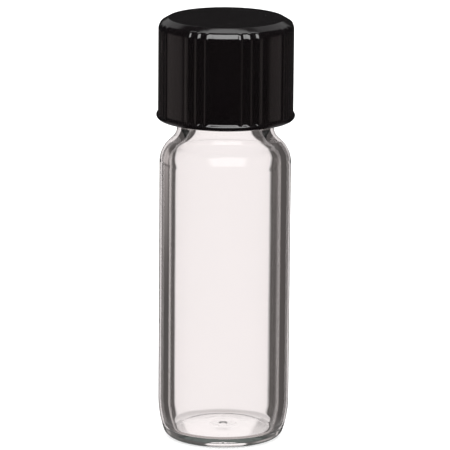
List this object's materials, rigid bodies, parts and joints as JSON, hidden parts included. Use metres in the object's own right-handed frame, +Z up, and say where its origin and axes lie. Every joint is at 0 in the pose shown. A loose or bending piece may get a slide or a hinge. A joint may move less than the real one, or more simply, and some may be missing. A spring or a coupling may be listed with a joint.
{
  "type": "screw-cap glass sample vial",
  "caption": "Small clear glass vial with a rounded shoulder and heel, closed by a black ribbed screw cap over a sealing disc. Holds a few millilitres of sample.",
  "frame": {"origin": "on the vial's axis, in the plane of the ring that it stands on", "axes": "+Z up the axis towards the cap, -Y towards the front, +X to the right as seen from the front"},
  "size_m": [0.0158, 0.0158, 0.0488],
  "materials": {
    "clear_glass": "clear, polished, with a faint grey-green tone in its edges",
    "black_plastic": "moulded black, semi-gloss",
    "liner_rubber": "off-white, smooth and matte"
  },
  "bodies": {
    "vial": {"glass_vial": "clear_glass"},
    "liner": {"cap_liner": "liner_rubber"},
    "cap": {"screw_cap": "black_plastic"}
  },
  "joints": [
    {"name": "cap_lift", "type": "slide", "parent": "vial", "child": "liner", "axis": [0, 0, 1], "range_m": [0, 0.00954]},
    {"name": "cap_turn", "type": "hinge", "parent": "liner", "child": "cap", "pos_m": [0, 0, 0.042], "axis": [0, 0, 1], "range_deg": [0, 1621]}
  ],
  "couplings": [
    {"joint": "cap_turn", "follows": "cap_lift", "rad_per_m": 2963.8}
  ]
}
